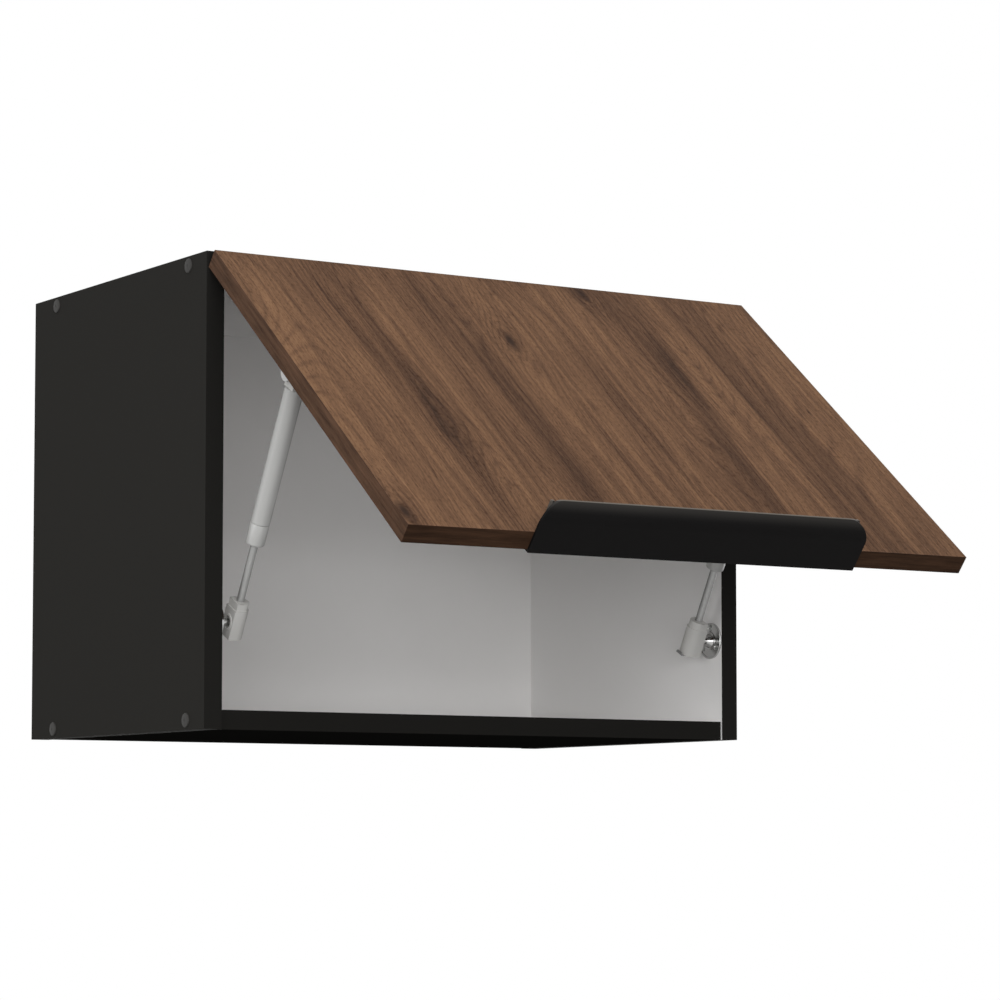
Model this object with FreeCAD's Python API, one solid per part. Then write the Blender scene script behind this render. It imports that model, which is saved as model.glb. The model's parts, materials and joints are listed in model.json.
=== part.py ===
"""Wall cabinet with a top-hung lift-up flap held open by two gas springs.

Millimetres, +X to the right of someone facing the cabinet, +Y towards the wall, +Z up.
The origin is midway between the two wall screws, on the wall plane.
The flap is drawn at its open stop, the pose in which the gas springs are fully extended.
"""
import math
import os

import FreeCAD
import Part

# Carcass
cabinet_width = 500.0
cabinet_height = 365.0
cabinet_depth = 307.0
board = 15.0
front_setback = 2.5
rear_setback = 9.0
back_thickness = 3.0
groove_depth = 6.0
groove_end_play = 0.5
rail_height = 60.0
rail_thickness = 13.0
wall_hole_radius = 3.0
wall_hole_spacing = 300.0

# Carcass screws and their caps
screw_front = 30.0
screw_rear = 42.0
screw_length = 50.0
screw_head_radius = 5.0
screw_head_length = 4.0
screw_shank_radius = 3.5
screw_thread_radius = 2.6
screw_socket_radius = 2.2
screw_socket_depth = 3.0
cap_radius = 5.6
cap_rim = 0.5
cap_crown = 0.6
cap_chamfer = 1.0

# Flap
flap_side_reveal = 1.0
flap_top_reveal = 3.3
flap_bottom_drop = 6.3
flap_thickness = 15.0
flap_gap = 2.5
open_angle = 50.86
bumper_radius = 4.0
bumper_thickness = 2.2
bumper_height = 20.0

# Concealed hinges
hinge_inset = 75.0
pin_depth = 9.0
pin_drop = 6.2
pin_radius = 1.0
running_clearance = 0.05
knuckle_radius = 2.0
arm_width = 8.0
arm_thickness = 2.6
arm_drop = 16.0
arm_lean = 15.0
arm_reach = 47.0
cup_radius = 17.5
cup_depth = 12.5
cup_wall = 0.7
cup_rim = 2.7
pin_bite = 0.6
flange_thickness = 1.2
flange_margin = 1.5
flange_half_length = 29.0
flange_half_height = 9.0
flange_screw_reach = 23.5
plate_front = 12.0
plate_width = 16.0
plate_wing_length = 46.0
plate_wing_width = 13.0
plate_wing_thickness = 2.0
plate_wing_back = 24.0
plate_screw_reach = 17.0
arm_screw_back = 15.0

# Wood screws of the fittings
wood_screw_head_radius = 3.0
wood_screw_head_height = 1.6
wood_screw_shank_radius = 1.6
wood_screw_length = 11.0

# Gas springs
spring_offset = 19.0
lower_stud_back = 15.5
lower_stud_height = 83.0
upper_stud_drop = 119.0
upper_stud_stand = 16.4
ball_radius = 5.0
ball_play = 0.06
stud_radius = 2.8
stud_collar_radius = 6.0
stud_collar_length = 4.0
disc_radius = 15.0
disc_thickness = 2.0
disc_screw_circle = 10.5
disc_screw_count = 3
disc_screw_turn = 90.0
socket_width = 16.5
socket_flat = 7.0
socket_above_ball = 18.0
upper_socket_reach = 13.5
socket_below_ball = 12.0
upper_socket_below = 9.0
socket_neck_length = 6.0
socket_neck_inset = 0.9
rod_grip = 7.0
clip_thickness = 0.6
clip_width = 9.0
clip_inset = 2.0
clip_tab = 1.6
clip_tab_height = 2.2
rod_radius = 3.0
rod_exposed = 47.5
tube_radius = 7.5
tube_wall = 1.0
tube_end = 3.0
guide_length = 18.0
guide_groove = 0.6
seal_thickness = 4.0
seal_play = 0.05
piston_thickness = 6.0
piston_play = 0.08
piston_rest_gap = 0.5
stem_radius = 3.0
stem_length = 7.0
ear_thickness = 2.0
ear_gap = 0.3
ear_radius = 8.0
ear_offset = 8.0
base_drop = 1.5
base_length = 28.0
base_width = 30.0
base_thickness = 2.0
base_screw_inset = 8.0

# Edge handle
handle_length = 290.9
handle_wall = 1.8
handle_lip_start = 9.0
handle_lip_radius = 23.2
handle_lip_turn = 42.3
handle_corner_radius = 18.0
handle_flange = 17.0
handle_cheek_inset = 8.4
handle_cheek_rise = 8.2
handle_cheek_reach = 22.5
handle_screw_inset = 25.5
handle_screw_rows = (-1, 0, 1)

# One overrun serves every cut
overrun = 2.0

# Planes worked out from the sizes above
half_width = cabinet_width / 2
inner_x = half_width - board
front_y = -cabinet_depth
top_z = rail_height / 2 + board
bottom_z = top_z - cabinet_height
back_rear_y = -rail_thickness
back_front_y = back_rear_y - back_thickness
flap_rear_y = front_y - flap_gap
flap_front_y = flap_rear_y - flap_thickness
flap_half_width = half_width - flap_side_reveal
flap_top_z = top_z - flap_top_reveal
flap_bottom_z = bottom_z - flap_bottom_drop
pivot_y = flap_rear_y - pin_depth
pivot_z = flap_top_z - pin_drop
hinge_x = half_width - hinge_inset
sides = (("left", -1), ("right", 1))

x_axis = FreeCAD.Vector(1, 0, 0)
y_axis = FreeCAD.Vector(0, 1, 0)
z_axis = FreeCAD.Vector(0, 0, 1)
pivot = FreeCAD.Vector(0, pivot_y, pivot_z)


def block(x0, x1, y0, y1, z0, z1):
    """A box between two corners."""
    return Part.makeBox(x1 - x0, y1 - y0, z1 - z0, FreeCAD.Vector(x0, y0, z0))


def rod(radius, start, direction, length):
    """A round bar from a point along a direction."""
    return Part.makeCylinder(radius, length, start, direction)


def turned(points, start, direction):
    """A solid turned from (radius, distance) points about an axis, the first and last on the axis."""
    corners = [FreeCAD.Vector(radius, 0, reach) for radius, reach in points]
    face = Part.Face(Part.makePolygon(corners + corners[:1]))
    solid = face.revolve(FreeCAD.Vector(0, 0, 0), z_axis, 360)
    solid.Placement = FreeCAD.Placement(start, FreeCAD.Rotation(z_axis, direction))
    return solid


def ball_stud(foot, reach, start, direction):
    """A turned stud from its foot's (radius, distance) points to a ball centred at reach."""
    waist = reach - math.sqrt(ball_radius ** 2 - stud_radius ** 2)
    line = [FreeCAD.Vector(radius, 0, height) for radius, height in foot + [(stud_radius, waist)]]
    tip = FreeCAD.Vector(0, 0, reach + ball_radius)
    edges = [Part.makeLine(first, second) for first, second in zip(line, line[1:])]
    edges.append(Part.Arc(line[-1], FreeCAD.Vector(ball_radius, 0, reach), tip).toShape())
    edges.append(Part.makeLine(tip, line[0]))
    solid = Part.Face(Part.Wire(edges)).revolve(FreeCAD.Vector(0, 0, 0), z_axis, 360)
    solid.Placement = FreeCAD.Placement(start, FreeCAD.Rotation(z_axis, direction))
    return solid


def opened(shape):
    """Swing a piece of the closed flap up to its open stop."""
    copy = shape.copy()
    copy.rotate(pivot, x_axis, -open_angle)
    return copy


def cut_all(shape, tools):
    """Cut every tool out of a shape."""
    for tool in tools:
        shape = shape.cut(tool)
    return shape


def save(name, solids):
    """Write one node, a single solid or a group of like solids."""
    shape = solids[0] if len(solids) == 1 else Part.makeCompound(solids)
    shape.exportStep("parts/" + name + ".step")
    print(name, len(solids), round(sum(solid.Volume for solid in solids), 1))


def carcass_screw(start, direction):
    """A connector screw with a tapered head and a round key socket."""
    taper_end = screw_head_length + screw_head_radius - screw_shank_radius
    tip_start = screw_length - screw_thread_radius
    return turned(
        [
            (0, screw_socket_depth),
            (screw_socket_radius, screw_socket_depth),
            (screw_socket_radius, 0),
            (screw_head_radius, 0),
            (screw_head_radius, screw_head_length),
            (screw_shank_radius, taper_end),
            (screw_shank_radius, board),
            (screw_thread_radius, board),
            (screw_thread_radius, tip_start),
            (0, screw_length),
        ],
        start,
        direction,
    )


def screw_room(start, direction):
    """The hole that a connector screw fills, its key socket included."""
    socket = rod(screw_socket_radius, start, direction, screw_socket_depth)
    return carcass_screw(start, direction).fuse(socket)


def screw_cap(start, outwards):
    """A cover with a chamfered rim and a peg that plugs the screw's key socket."""
    crown_top = cap_rim + cap_crown
    return turned(
        [
            (0, -screw_socket_depth),
            (screw_socket_radius, -screw_socket_depth),
            (screw_socket_radius, 0),
            (cap_radius, 0),
            (cap_radius, cap_rim),
            (cap_radius - cap_chamfer, crown_top),
            (0, crown_top),
        ],
        start,
        outwards,
    )


def wood_screw(seat, inwards):
    """A flat-headed wood screw whose head is sunk flush with its seat."""
    tip_start = wood_screw_length - wood_screw_shank_radius
    return turned(
        [
            (0, 0),
            (wood_screw_head_radius, 0),
            (wood_screw_shank_radius, wood_screw_head_height),
            (wood_screw_shank_radius, tip_start),
            (0, wood_screw_length),
        ],
        seat,
        inwards,
    )


def carcass_screw_places(sign):
    """Head centre of each connector screw on one side of the cabinet."""
    rows = (bottom_z + board / 2, top_z - board / 2)
    columns = (front_y + screw_front, -screw_rear)
    return [FreeCAD.Vector(sign * half_width, y, z) for z in rows for y in columns]


def build_carcass(bracket_screws, plate_screws):
    """Boards, back, wall rail, connector screws and caps."""
    screws, rooms, caps = [], [], []
    for _, sign in sides:
        for place in carcass_screw_places(sign):
            screws.append(carcass_screw(place, x_axis * -sign))
            rooms.append(screw_room(place, x_axis * -sign))
            caps.append(screw_cap(place, x_axis * sign))
    groove_x = inner_x + groove_depth
    groove_low = bottom_z + board - groove_depth
    groove_high = top_z - board + groove_depth
    groove = block(-groove_x, groove_x, back_front_y, back_rear_y, groove_low, groove_high)
    for name, sign in sides:
        near, far = sorted((sign * inner_x, sign * half_width))
        side = block(near, far, front_y, 0, bottom_z, top_z)
        save(name + "_side", [cut_all(side, [groove] + rooms + bracket_screws)])
    panel_front = front_y + front_setback
    top = block(-inner_x, inner_x, panel_front, -rear_setback, top_z - board, top_z)
    save("top_panel", [cut_all(top, [groove] + rooms + plate_screws)])
    bottom = block(-inner_x, inner_x, panel_front, -rear_setback, bottom_z, bottom_z + board)
    save("bottom_panel", [cut_all(bottom, [groove] + rooms)])
    wall_holes = []
    for sign in (-1, 1):
        start = FreeCAD.Vector(sign * wall_hole_spacing / 2, back_front_y - overrun, 0)
        wall_holes.append(rod(wall_hole_radius, start, y_axis, -back_front_y + 2 * overrun))
    back_x = groove_x - groove_end_play
    back_low = groove_low + groove_end_play
    back_high = groove_high - groove_end_play
    back = block(-back_x, back_x, back_front_y, back_rear_y, back_low, back_high)
    save("back_panel", [cut_all(back, wall_holes)])
    rail = block(-inner_x, inner_x, back_rear_y, 0, -rail_height / 2, rail_height / 2)
    save("wall_rail", [cut_all(rail, wall_holes)])
    save("carcass_screws", screws)
    save("screw_caps", caps)


def hinge_cup(x):
    """A pressed cup with its screw flange, in the closed flap."""
    centre_z = flap_top_z - cup_rim - cup_radius
    mouth = FreeCAD.Vector(x, flap_rear_y, centre_z)
    bowl = rod(cup_radius, mouth, -y_axis, cup_depth)
    ring = rod(cup_radius + flange_margin, mouth, y_axis, flange_thickness)
    wings = block(
        x - flange_half_length,
        x + flange_half_length,
        flap_rear_y,
        flap_rear_y + flange_thickness,
        centre_z - flange_half_height,
        centre_z + flange_half_height,
    )
    inside = rod(cup_radius - cup_wall, mouth + y_axis * flange_thickness, -y_axis,
                 cup_depth - cup_wall + flange_thickness)
    return bowl, bowl.fuse(ring).fuse(wings).cut(inside), centre_z


def hinge_pin(x, cup_centre_z):
    """The pin across the top of the cup, its ends let into the cup wall."""
    rise = pivot_z - cup_centre_z
    half_chord = math.sqrt((cup_radius - cup_wall) ** 2 - rise ** 2) + pin_bite
    return rod(pin_radius, FreeCAD.Vector(x - half_chord, pivot_y, pivot_z), x_axis, 2 * half_chord)


def hinge_arm(x, arm_screw):
    """A cranked arm from the pin, down inside the cup and back under the top panel."""
    lean = math.tan(math.radians(arm_lean))
    half = arm_thickness / 2
    bar_z = pivot_z - arm_drop
    bar_end = front_y + arm_reach
    # The crank follows a line that leans back from the pin to the bar
    slope = half / math.cos(math.radians(arm_lean))
    bar_top_y = pivot_y + (arm_drop - half) * lean + slope
    bar_low_y = pivot_y + (arm_drop + half) * lean - slope
    outline = [
        (pivot_y - slope, pivot_z),
        (pivot_y + slope, pivot_z),
        (bar_top_y, bar_z + half),
        (bar_end, bar_z + half),
        (bar_end, bar_z - half),
        (bar_low_y, bar_z - half),
    ]
    corners = [FreeCAD.Vector(x - arm_width / 2, y, z) for y, z in outline]
    crank = Part.Face(Part.makePolygon(corners + corners[:1])).extrude(x_axis * arm_width)
    start = FreeCAD.Vector(x - arm_width / 2, pivot_y, pivot_z)
    knuckle = rod(knuckle_radius, start, x_axis, arm_width)
    bore_start = start - x_axis * overrun
    bore = rod(pin_radius + running_clearance, bore_start, x_axis, arm_width + 2 * overrun)
    return crank.fuse(knuckle).cut(bore).cut(arm_screw)


def hinge_plate(x, screws):
    """A mounting plate under the top panel that carries the arm."""
    under_top = top_z - board
    plate_low = pivot_z - arm_drop + arm_thickness / 2
    half = plate_width / 2
    plate_y = front_y + plate_front
    wing_y = front_y + plate_wing_back
    spine = block(x - half, x + half, plate_y, front_y + arm_reach, plate_low, under_top)
    wings = block(
        x - plate_wing_length / 2,
        x + plate_wing_length / 2,
        wing_y,
        wing_y + plate_wing_width,
        under_top - plate_wing_thickness,
        under_top,
    )
    return cut_all(spine.fuse(wings), screws)


def build_hinges():
    """Both concealed hinges; returns what the flap and the top panel are drilled for."""
    flap_cuts, plate_cuts = [], []
    under_top = top_z - board
    arm_low = pivot_z - arm_drop - arm_thickness / 2
    for name, sign in sides:
        x = sign * hinge_x
        bowl, cup, centre_z = hinge_cup(x)
        cup_screws = []
        for reach in (-flange_screw_reach, flange_screw_reach):
            seat = FreeCAD.Vector(x + reach, flap_rear_y + flange_thickness, centre_z)
            cup_screws.append(wood_screw(seat, -y_axis))
        pin = hinge_pin(x, centre_z)
        save(name + "_hinge_cup", [opened(cut_all(cup, cup_screws + [pin]))])
        save(name + "_hinge_pin", [opened(pin)])
        save(name + "_hinge_cup_screws", [opened(screw) for screw in cup_screws])
        flap_cuts += [bowl] + cup_screws + [pin]
        arm_seat = FreeCAD.Vector(x, front_y + arm_reach - arm_screw_back, arm_low)
        arm_screw = wood_screw(arm_seat, z_axis)
        plate_screws = []
        wing_mid = front_y + plate_wing_back + plate_wing_width / 2
        for reach in (-plate_screw_reach, plate_screw_reach):
            seat = FreeCAD.Vector(x + reach, wing_mid, under_top - plate_wing_thickness)
            plate_screws.append(wood_screw(seat, z_axis))
        save(name + "_hinge_arm", [hinge_arm(x, arm_screw)])
        save(name + "_hinge_plate", [hinge_plate(x, plate_screws + [arm_screw])])
        save(name + "_hinge_plate_screws", plate_screws + [arm_screw])
        plate_cuts += plate_screws + [arm_screw]
    return flap_cuts, plate_cuts


def handle_profile_solid():
    """Flange, base, upturned lip and end cheeks along the closed flap's lower edge."""
    base_low = flap_bottom_z - handle_wall
    flange_rear = flap_rear_y + handle_wall
    lip_y = flap_front_y - handle_lip_start
    centre_z = base_low + handle_lip_radius
    turn = math.radians(handle_lip_turn)
    inner_radius = handle_lip_radius - handle_wall
    rim_radius = handle_wall / 2
    middle_radius = handle_lip_radius - rim_radius
    half_length = handle_length / 2

    def lip(radius, angle):
        """A point of the lip's arc, counted from its lowest point towards the front."""
        return FreeCAD.Vector(0, lip_y - radius * math.sin(angle), centre_z - radius * math.cos(angle))

    def arc(radius, first, last):
        """The lip's arc between two angles."""
        return Part.Arc(lip(radius, first), lip(radius, (first + last) / 2), lip(radius, last)).toShape()

    def extruded(edges, start, length):
        """A closed outline in the plane x = 0, moved to start and drawn out along X."""
        solid = Part.Face(Part.Wire(edges)).extrude(x_axis * length)
        solid.translate(x_axis * start)
        return solid

    # The rim is rounded over the whole thickness of the strip
    rim_tip = lip(middle_radius, turn + rim_radius / middle_radius)
    corner = [
        FreeCAD.Vector(0, flange_rear, base_low),
        FreeCAD.Vector(0, flange_rear, flap_bottom_z + handle_flange),
        FreeCAD.Vector(0, flap_rear_y, flap_bottom_z + handle_flange),
        FreeCAD.Vector(0, flap_rear_y, flap_bottom_z),
    ]
    strip = extruded(
        [
            Part.makeLine(lip(handle_lip_radius, 0), corner[0]),
            Part.makeLine(corner[0], corner[1]),
            Part.makeLine(corner[1], corner[2]),
            Part.makeLine(corner[2], corner[3]),
            Part.makeLine(corner[3], lip(inner_radius, 0)),
            arc(inner_radius, 0, turn),
            Part.Arc(lip(inner_radius, turn), rim_tip, lip(handle_lip_radius, turn)).toShape(),
            arc(handle_lip_radius, turn, 0),
        ],
        -half_length,
        handle_length,
    )
    heel = FreeCAD.Vector(0, flap_front_y, flap_bottom_z)
    crest = FreeCAD.Vector(0, flap_front_y, flap_bottom_z + handle_cheek_rise)
    nose = FreeCAD.Vector(0, flap_front_y - handle_cheek_reach, flap_bottom_z + handle_cheek_rise)
    cheek_edges = [
        Part.makeLine(lip(inner_radius, 0), heel),
        Part.makeLine(heel, crest),
        Part.makeLine(crest, nose),
        Part.makeLine(nose, lip(inner_radius, turn)),
        arc(inner_radius, turn, 0),
    ]
    # The lip's front corners are rounded as seen square to the flap's lower edge
    lip_front = rim_tip.y
    lip_top = rim_tip.z + rim_radius
    round_y = lip_front + handle_corner_radius
    for sign in (-1, 1):
        end = sign * half_length
        round_x = end - sign * handle_corner_radius
        near, far = sorted((round_x, end + sign * overrun))
        waste = block(near, far, lip_front - overrun, round_y, base_low - overrun, lip_top + overrun)
        keep_start = FreeCAD.Vector(round_x, round_y, base_low - overrun)
        keep = rod(handle_corner_radius, keep_start, z_axis, lip_top - base_low + 2 * overrun)
        strip = strip.cut(waste.cut(keep))
    for sign in (-1, 1):
        outer = sign * (half_length - handle_cheek_inset)
        start = min(outer, outer - sign * handle_wall)
        strip = strip.fuse(extruded(cheek_edges, start, handle_wall))
    return strip


def build_handle():
    """The handle and the screws in its rear flange; returns the screws."""
    screws = []
    screw_reach = handle_length / 2 - handle_screw_inset
    seat_z = flap_bottom_z + handle_flange / 2
    for row in handle_screw_rows:
        seat = FreeCAD.Vector(row * screw_reach, flap_rear_y + handle_wall, seat_z)
        screws.append(wood_screw(seat, -y_axis))
    save("handle", [opened(cut_all(handle_profile_solid(), screws))])
    save("handle_screws", [opened(screw) for screw in screws])
    return screws


def upper_stud_closed():
    """Where the upper ball sits when the flap is closed, in the plane x = 0."""
    return FreeCAD.Vector(0, flap_rear_y + upper_stud_stand, flap_top_z - upper_stud_drop)


def build_upper_brackets():
    """The sheet brackets on the flap; returns the screws that hold them."""
    all_screws = []
    stud = upper_stud_closed()
    base_high = stud.z - base_drop
    base_low = base_high - base_length
    for name, sign in sides:
        ear_x = sign * (inner_x - ear_offset)
        ear_inner_x = ear_x - sign * ear_thickness
        base_inner_x = ear_x - sign * base_width
        near, far = sorted((ear_x, ear_inner_x))
        ear_start = FreeCAD.Vector(near, stud.y, stud.z)
        ear = rod(ear_radius, ear_start, x_axis, ear_thickness)
        web = block(near, far, flap_rear_y, stud.y, stud.z - ear_radius, stud.z + ear_radius)
        near, far = sorted((ear_x, base_inner_x))
        base = block(
            near,
            far,
            flap_rear_y,
            flap_rear_y + base_thickness,
            base_low,
            base_high,
        )
        screws = []
        for row_z in (base_low + base_screw_inset, base_high - base_screw_inset):
            screw_x = base_inner_x + sign * base_screw_inset
            seat = FreeCAD.Vector(screw_x, flap_rear_y + base_thickness, row_z)
            screws.append(wood_screw(seat, -y_axis))
        bracket = ear.fuse(web).fuse(base).removeSplitter()
        save(name + "_upper_bracket", [opened(cut_all(bracket, screws))])
        save(name + "_upper_bracket_screws", [opened(screw) for screw in screws])
        all_screws += screws
    return all_screws


def build_flap(cuts):
    """The flap board and the buffers on its rear face."""
    panel = block(
        -flap_half_width, flap_half_width, flap_front_y, flap_rear_y, flap_bottom_z, flap_top_z
    )
    save("flap_panel", [opened(cut_all(panel, cuts))])
    bumpers = []
    for _, sign in sides:
        start = FreeCAD.Vector(sign * (half_width - board / 2), flap_rear_y, flap_bottom_z + bumper_height)
        bumpers.append(rod(bumper_radius, start, y_axis, bumper_thickness))
    save("flap_bumpers", [opened(bumper) for bumper in bumpers])


def build_lower_brackets():
    """Round side brackets with their ball studs; returns the screws that hold them."""
    all_screws = []
    for name, sign in sides:
        centre = FreeCAD.Vector(sign * inner_x, front_y + lower_stud_back, bottom_z + lower_stud_height)
        inwards = x_axis * -sign
        disc = rod(disc_radius, centre, inwards, disc_thickness)
        screws = []
        for index in range(disc_screw_count):
            angle = math.radians(disc_screw_turn + index * 360 / disc_screw_count)
            shift = FreeCAD.Vector(0, math.cos(angle), math.sin(angle)) * disc_screw_circle
            screws.append(wood_screw(centre + shift + inwards * disc_thickness, -inwards))
        save(name + "_lower_bracket", [cut_all(disc, screws)])
        save(name + "_lower_bracket_screws", screws)
        collar = [
            (0, disc_thickness),
            (stud_collar_radius, disc_thickness),
            (stud_radius, disc_thickness + stud_collar_length),
        ]
        save(name + "_lower_ball_stud", [ball_stud(collar, spring_offset, centre, inwards)])
        all_screws += screws
    return all_screws


def socket_bar(outwards, inset, low, high):
    """A length of the end socket's section, flat towards the stud and half round behind."""
    half = socket_width / 2 - inset
    flat_x = outwards.x * (socket_flat - inset)
    outline = ((0, -half), (flat_x, -half), (flat_x, half), (0, half))
    corners = [FreeCAD.Vector(x, y, low) for x, y in outline]
    edges = [Part.LineSegment(start, end).toShape() for start, end in zip(corners, corners[1:])]
    behind = FreeCAD.Vector(-outwards.x * half, 0, low)
    edges.append(Part.Arc(corners[-1], behind, corners[0]).toShape())
    return Part.Face(Part.Wire(edges)).extrude(z_axis * (high - low))


def ball_socket(outwards, reach_sign, above_ball, below_ball):
    """A moulded end socket round the origin, with its neck along reach_sign times Z."""
    neck_start = above_ball - socket_neck_length
    lengths = []
    for inset, first, last in ((0, -below_ball, neck_start), (socket_neck_inset, neck_start, above_ball)):
        low, high = sorted((reach_sign * first, reach_sign * last))
        lengths.append(socket_bar(outwards, inset, low, high))
    body, neck = lengths
    pocket_radius = ball_radius + ball_play
    pocket = rod(pocket_radius, FreeCAD.Vector(0, 0, 0), outwards, socket_flat + overrun)
    hollow = pocket.fuse(Part.makeSphere(pocket_radius))
    return body.fuse(neck).removeSplitter().cut(hollow)


def socket_clip(outwards, reach_sign, below_ball):
    """A sprung strip under the socket's toe, with a tab turned up behind it."""
    tab_x = -outwards.x * (socket_width / 2 + clip_tab)
    low_x, high_x = sorted((tab_x, outwards.x * (socket_flat - clip_inset)))
    toe_z = -reach_sign * below_ball
    outer_z = toe_z - reach_sign * clip_thickness
    low_z, high_z = sorted((toe_z, outer_z))
    strip = block(low_x, high_x, -clip_width / 2, clip_width / 2, low_z, high_z)
    low_x, high_x = sorted((tab_x, tab_x + outwards.x * clip_thickness))
    low_z, high_z = sorted((outer_z, toe_z + reach_sign * clip_tab_height))
    tab = block(low_x, high_x, -clip_width / 2, clip_width / 2, low_z, high_z)
    return strip.fuse(tab).removeSplitter()


def build_spring(name, sign, lower, upper):
    """One gas spring, drawn upright with its lower ball at the origin, then leaned into place."""
    span = (upper - lower).Length
    lean = math.degrees(math.atan2(-(upper.y - lower.y), upper.z - lower.z))
    outwards = x_axis * sign
    mouth = socket_above_ball + rod_exposed
    tube_top = span - upper_socket_reach
    tube_start = mouth + guide_length
    bore_radius = tube_radius - tube_wall

    def place(shape):
        """Lean an upright piece forward about the lower ball."""
        copy = shape.copy()
        copy.rotate(FreeCAD.Vector(0, 0, 0), x_axis, lean)
        copy.translate(lower)
        return copy

    rod_start = z_axis * (socket_above_ball - rod_grip)
    piston_start = tube_start + seal_thickness + piston_rest_gap
    rod_length = piston_start + piston_thickness - rod_start.z
    bar = rod(rod_radius, rod_start, z_axis, rod_length)
    socket = ball_socket(outwards, 1, socket_above_ball, socket_below_ball).cut(bar)
    piston = rod(bore_radius - piston_play, z_axis * piston_start, z_axis, piston_thickness).cut(bar)
    save(name + "_spring_lower_socket", [place(socket)])
    save(name + "_spring_lower_clip", [place(socket_clip(outwards, 1, socket_below_ball))])
    save(name + "_spring_rod", [place(bar)])
    save(name + "_spring_piston", [place(piston)])

    bore_start = z_axis * (mouth - overrun)
    bore = rod(rod_radius + running_clearance, bore_start, z_axis, guide_length + 2 * overrun)
    guide = turned(
        [
            (0, mouth),
            (tube_radius - guide_groove, mouth),
            (tube_radius, mouth + guide_groove),
            (tube_radius, tube_start - guide_groove),
            (tube_radius - guide_groove, tube_start),
            (0, tube_start),
        ],
        FreeCAD.Vector(0, 0, 0),
        z_axis,
    ).cut(bore)
    seal_bore_start = z_axis * (tube_start - overrun)
    seal_bore = rod(rod_radius + seal_play, seal_bore_start, z_axis, seal_thickness + 2 * overrun)
    seal = rod(bore_radius, z_axis * tube_start, z_axis, seal_thickness).cut(seal_bore)
    tube_length = tube_top - tube_start
    tube = rod(tube_radius, z_axis * tube_start, z_axis, tube_length)
    chamber_start = z_axis * (tube_start - overrun)
    chamber = rod(bore_radius, chamber_start, z_axis, tube_length - tube_end + overrun)
    stem = rod(stem_radius, z_axis * (tube_top - overrun), z_axis, stem_length + overrun)
    tube = tube.cut(chamber).fuse(stem)
    upper_socket = ball_socket(outwards, -1, upper_socket_reach, upper_socket_below)
    upper_socket.translate(z_axis * span)
    upper_clip = socket_clip(outwards, -1, upper_socket_below)
    upper_clip.translate(z_axis * span)
    shank_length = spring_offset - ear_offset - ear_thickness - ear_gap
    shank_start = z_axis * span + outwards * shank_length
    upper_stud = ball_stud([(0, 0), (stud_radius, 0)], shank_length, shank_start, -outwards)
    save(name + "_spring_rod_guide", [place(guide)])
    save(name + "_spring_seal", [place(seal)])
    save(name + "_spring_tube", [place(tube)])
    save(name + "_spring_upper_socket", [place(upper_socket.cut(stem))])
    save(name + "_spring_upper_clip", [place(upper_clip)])
    save(name + "_upper_ball_stud", [place(upper_stud)])
    return span, lean


def main():
    os.makedirs("parts", exist_ok=True)
    hinge_cuts, plate_cuts = build_hinges()
    handle_screws = build_handle()
    upper_screws = build_upper_brackets()
    build_flap(hinge_cuts + handle_screws + upper_screws)
    lower_screws = build_lower_brackets()
    build_carcass(lower_screws, plate_cuts)
    lower_stud = FreeCAD.Vector(0, front_y + lower_stud_back, bottom_z + lower_stud_height)
    upper_open = Part.Vertex(upper_stud_closed())
    upper_open.rotate(pivot, x_axis, -open_angle)
    for name, sign in sides:
        shift = x_axis * (sign * (inner_x - spring_offset))
        span, lean = build_spring(name, sign, lower_stud + shift, upper_open.Point + shift)
        print(name, "spring span", round(span, 3), "lean", round(lean, 3))
    closed = upper_stud_closed() - lower_stud
    closed_lean = math.degrees(math.atan2(-closed.y, closed.z))
    print("closed span", round(closed.Length, 3), "lean", round(closed_lean, 3))
    print("pivot", round(pivot_y, 3), round(pivot_z, 3), "bottom", round(bottom_z, 3))


main()
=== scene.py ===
# %% [markdown]
# # A hanging wall cabinet with a lift-up walnut flap
#
# The cabinet is a graphite box, white inside, whose flap swings up on two hinges and is held by two
# gas springs. The measured solids come in as a fixed frame. This lesson gives each of them its finish
# and models anew the small fittings that a plain solid shows too simply.

# %% Load the frame
import json
import math

import bpy
from mathutils import Matrix, Vector


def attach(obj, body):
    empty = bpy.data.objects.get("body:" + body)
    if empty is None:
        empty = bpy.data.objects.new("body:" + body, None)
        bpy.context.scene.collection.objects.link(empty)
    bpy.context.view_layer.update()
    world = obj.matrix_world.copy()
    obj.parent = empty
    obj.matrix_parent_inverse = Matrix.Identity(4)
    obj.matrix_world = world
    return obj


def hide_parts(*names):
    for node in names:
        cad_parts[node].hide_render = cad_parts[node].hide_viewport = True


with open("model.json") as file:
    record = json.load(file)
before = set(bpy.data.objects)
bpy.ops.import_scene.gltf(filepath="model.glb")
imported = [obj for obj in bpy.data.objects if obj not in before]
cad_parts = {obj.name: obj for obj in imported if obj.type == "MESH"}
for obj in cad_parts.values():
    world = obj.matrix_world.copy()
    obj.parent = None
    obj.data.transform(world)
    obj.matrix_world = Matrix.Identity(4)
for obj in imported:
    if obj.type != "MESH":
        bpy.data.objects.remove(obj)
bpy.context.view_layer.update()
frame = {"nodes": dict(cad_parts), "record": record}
nodes = frame["nodes"]

# %% [markdown]
# ## Camera
#
# The view stands left of the cabinet and a little below it, so that the underside shows as a thin dark
# strip. A long lens keeps the boards nearly parallel. The uprights lean hardly at all, which a small
# upward shift gives with less tilt than turning the whole camera would.

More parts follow.
